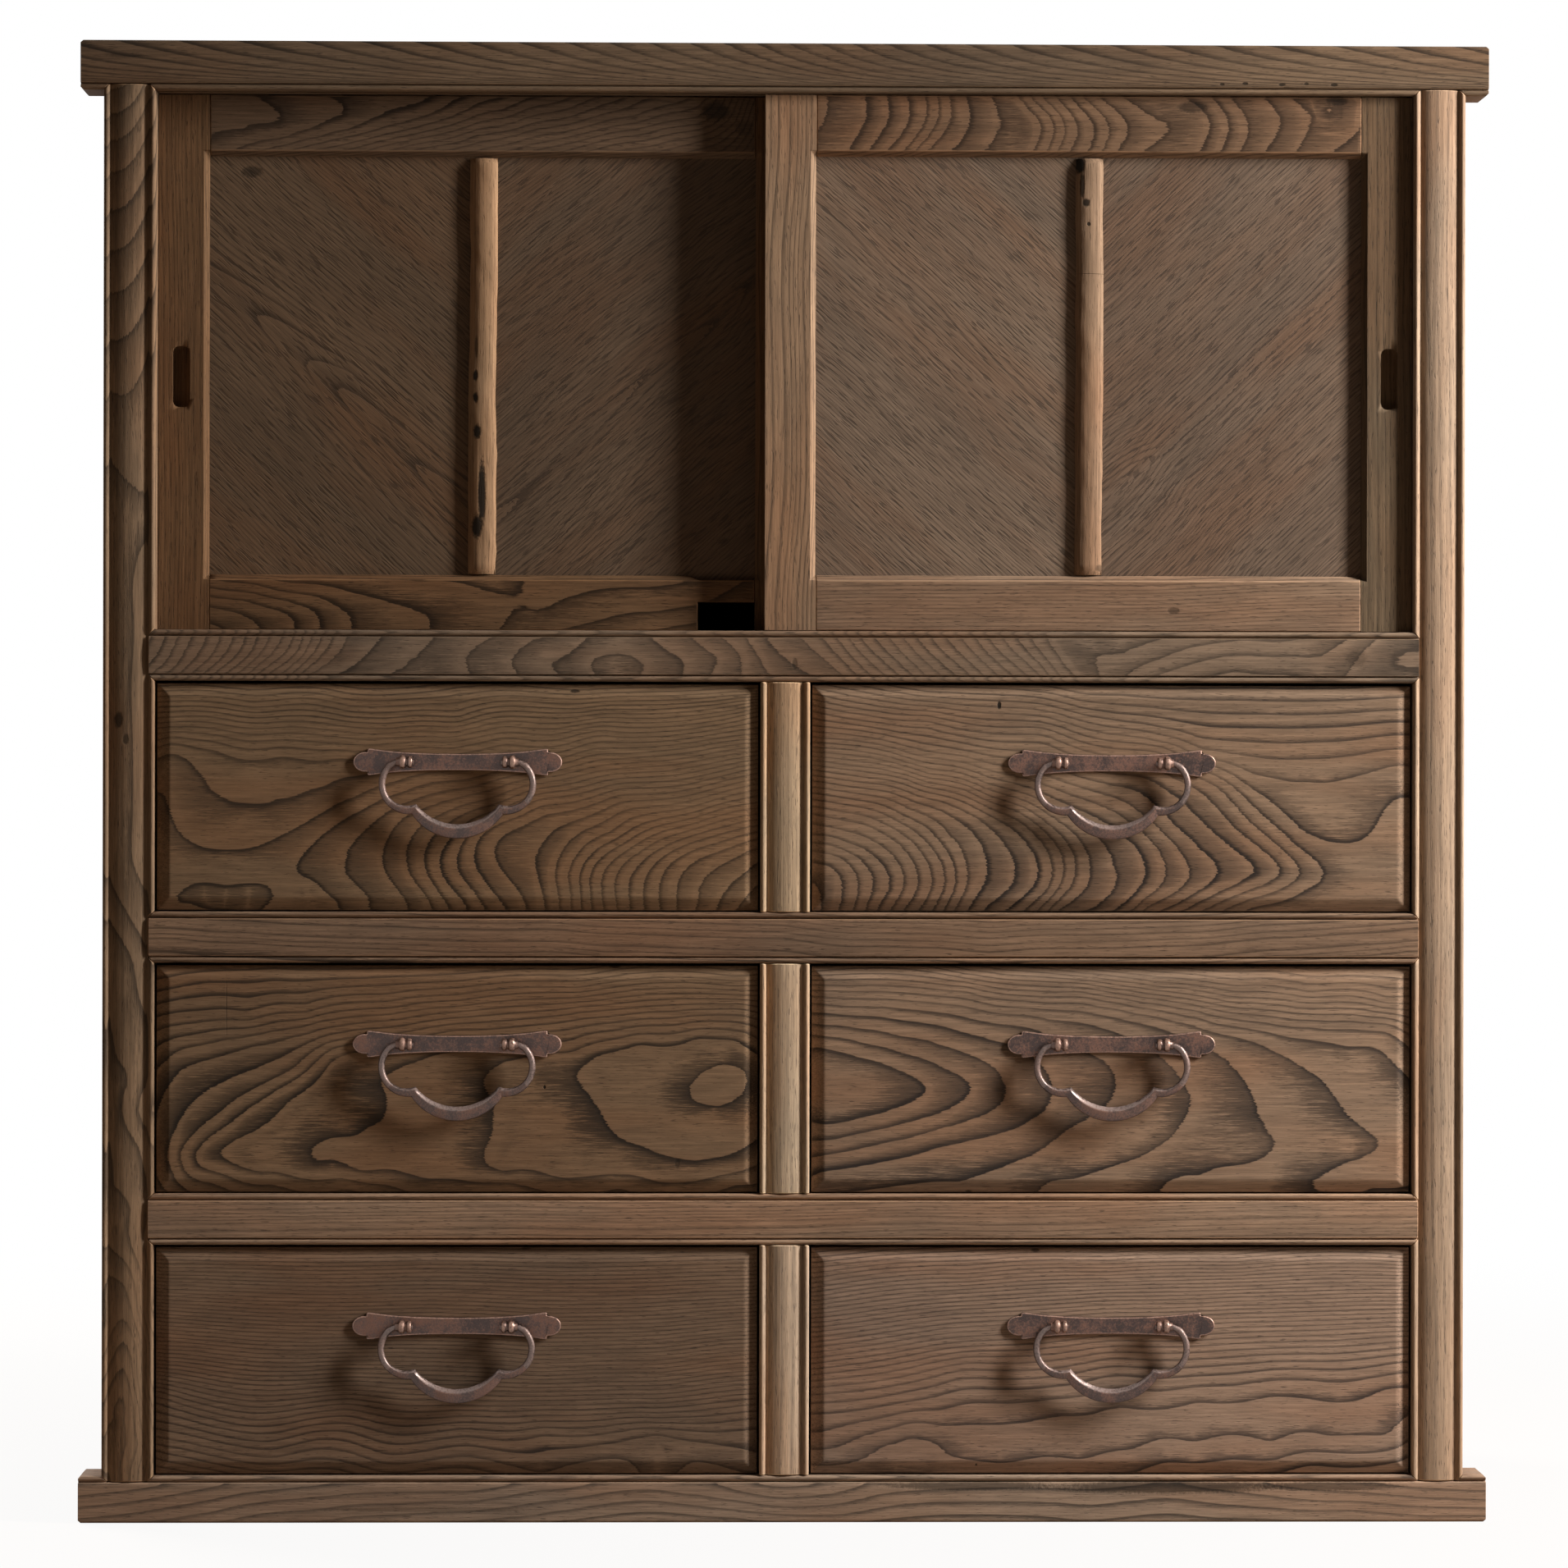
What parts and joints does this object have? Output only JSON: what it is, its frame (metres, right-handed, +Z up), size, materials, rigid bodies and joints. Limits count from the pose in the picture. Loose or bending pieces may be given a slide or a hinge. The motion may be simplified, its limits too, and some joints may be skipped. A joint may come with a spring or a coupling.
{
  "type": "tansu cabinet",
  "caption": "Low wooden tansu cabinet with sliding panelled doors over rows of drawers in a moulded front frame, with forged iron bail handles.",
  "frame": {"origin": "on the floor under the middle of the whole cabinet's width and depth, the handles' knuckles counted", "axes": "+Z up, -Y out of the front, +X to the viewer's right when facing the front"},
  "size_m": [1.034, 0.4412, 1.086],
  "materials": {
    "top_wood": "worn, greyed, open-grained board with an old stain left in it",
    "rail_wood": "stripped and greyed, matte, dark grain lines",
    "post_wood": "stripped and greyed, matte, dark grain lines",
    "door_wood": "stripped and greyed, matte, dark grain lines",
    "panel_wood": "thin dark board, fine slanting grain, matte",
    "batten_wood": "peeled pole, smooth, warm, low sheen",
    "drawer_wood": "bold figured board, matte, dark grain lines",
    "inside_wood": "plain unfinished board",
    "handle_iron": "forged iron with thin brown rust and worn bright edges"
  },
  "bodies": {
    "carcass": {"top_rail": "top_wood", "base_rail": "rail_wood", "door_sill_rail": "rail_wood", "upper_drawer_rail": "rail_wood", "lower_drawer_rail": "rail_wood", "left_post": "post_wood", "right_post": "post_wood", "divider_row_1": "post_wood", "divider_row_2": "post_wood", "divider_row_3": "post_wood", "left_side_board": "top_wood", "right_side_board": "top_wood", "top_board": "top_wood", "back_board": "inside_wood", "compartment_floor": "inside_wood", "drawer_floor_row_1": "inside_wood", "drawer_floor_row_2": "inside_wood", "drawer_floor_row_3": "inside_wood"},
    "left_door": {"left_door_bottom_rail": "door_wood", "left_door_top_rail": "door_wood", "left_door_left_stile": "door_wood", "left_door_right_stile": "door_wood", "left_door_left_panel": "panel_wood", "left_door_right_panel": "panel_wood", "left_door_batten": "batten_wood"},
    "right_door": {"right_door_bottom_rail": "door_wood", "right_door_top_rail": "door_wood", "right_door_left_stile": "door_wood", "right_door_right_stile": "door_wood", "right_door_left_panel": "panel_wood", "right_door_right_panel": "panel_wood", "right_door_batten": "batten_wood"},
    "drawer_1_left": {"drawer_1_left_front": "drawer_wood", "drawer_1_left_tray": "inside_wood", "drawer_1_left_plate": "handle_iron"},
    "drawer_1_right": {"drawer_1_right_front": "drawer_wood", "drawer_1_right_tray": "inside_wood", "drawer_1_right_plate": "handle_iron"},
    "drawer_2_left": {"drawer_2_left_front": "drawer_wood", "drawer_2_left_tray": "inside_wood", "drawer_2_left_plate": "handle_iron"},
    "drawer_2_right": {"drawer_2_right_front": "drawer_wood", "drawer_2_right_tray": "inside_wood", "drawer_2_right_plate": "handle_iron"},
    "drawer_3_left": {"drawer_3_left_front": "drawer_wood", "drawer_3_left_tray": "inside_wood", "drawer_3_left_plate": "handle_iron"},
    "drawer_3_right": {"drawer_3_right_front": "drawer_wood", "drawer_3_right_tray": "inside_wood", "drawer_3_right_plate": "handle_iron"},
    "drawer_1_left_handle": {"drawer_1_left_bail": "handle_iron"},
    "drawer_1_right_handle": {"drawer_1_right_bail": "handle_iron"},
    "drawer_2_left_handle": {"drawer_2_left_bail": "handle_iron"},
    "drawer_2_right_handle": {"drawer_2_right_bail": "handle_iron"},
    "drawer_3_left_handle": {"drawer_3_left_bail": "handle_iron"},
    "drawer_3_right_handle": {"drawer_3_right_bail": "handle_iron"}
  },
  "joints": [
    {"name": "left_door_slide", "type": "slide", "parent": "carcass", "child": "left_door", "axis": [1, 0, 0], "range_m": [0, 0.446]},
    {"name": "right_door_slide", "type": "slide", "parent": "carcass", "child": "right_door", "axis": [-1, 0, 0], "range_m": [0, 0.446]},
    {"name": "drawer_1_left_slide", "type": "slide", "parent": "carcass", "child": "drawer_1_left", "axis": [0, -1, 0], "range_m": [0, 0.32]},
    {"name": "drawer_1_right_slide", "type": "slide", "parent": "carcass", "child": "drawer_1_right", "axis": [0, -1, 0], "range_m": [0, 0.32]},
    {"name": "drawer_2_left_slide", "type": "slide", "parent": "carcass", "child": "drawer_2_left", "axis": [0, -1, 0], "range_m": [0, 0.32]},
    {"name": "drawer_2_right_slide", "type": "slide", "parent": "carcass", "child": "drawer_2_right", "axis": [0, -1, 0], "range_m": [0, 0.32]},
    {"name": "drawer_3_left_slide", "type": "slide", "parent": "carcass", "child": "drawer_3_left", "axis": [0, -1, 0], "range_m": [0, 0.32]},
    {"name": "drawer_3_right_slide", "type": "slide", "parent": "carcass", "child": "drawer_3_right", "axis": [0, -1, 0], "range_m": [0, 0.32]},
    {"name": "drawer_1_left_bail_hinge", "type": "hinge", "parent": "drawer_1_left", "child": "drawer_1_left_handle", "pos_m": [-0.2402, -0.2156, 0.5578], "axis": [-1, 0, 0], "range_deg": [-5, 160]},
    {"name": "drawer_1_right_bail_hinge", "type": "hinge", "parent": "drawer_1_right", "child": "drawer_1_right_handle", "pos_m": [0.2402, -0.2156, 0.5578], "axis": [-1, 0, 0], "range_deg": [-5, 160]},
    {"name": "drawer_2_left_bail_hinge", "type": "hinge", "parent": "drawer_2_left", "child": "drawer_2_left_handle", "pos_m": [-0.2402, -0.2156, 0.3511], "axis": [-1, 0, 0], "range_deg": [-5, 160]},
    {"name": "drawer_2_right_bail_hinge", "type": "hinge", "parent": "drawer_2_right", "child": "drawer_2_right_handle", "pos_m": [0.2402, -0.2156, 0.3511], "axis": [-1, 0, 0], "range_deg": [-5, 160]},
    {"name": "drawer_3_left_bail_hinge", "type": "hinge", "parent": "drawer_3_left", "child": "drawer_3_left_handle", "pos_m": [-0.2402, -0.2156, 0.1444], "axis": [-1, 0, 0], "range_deg": [-5, 160]},
    {"name": "drawer_3_right_bail_hinge", "type": "hinge", "parent": "drawer_3_right", "child": "drawer_3_right_handle", "pos_m": [0.2402, -0.2156, 0.1444], "axis": [-1, 0, 0], "range_deg": [-5, 160]}
  ]
}
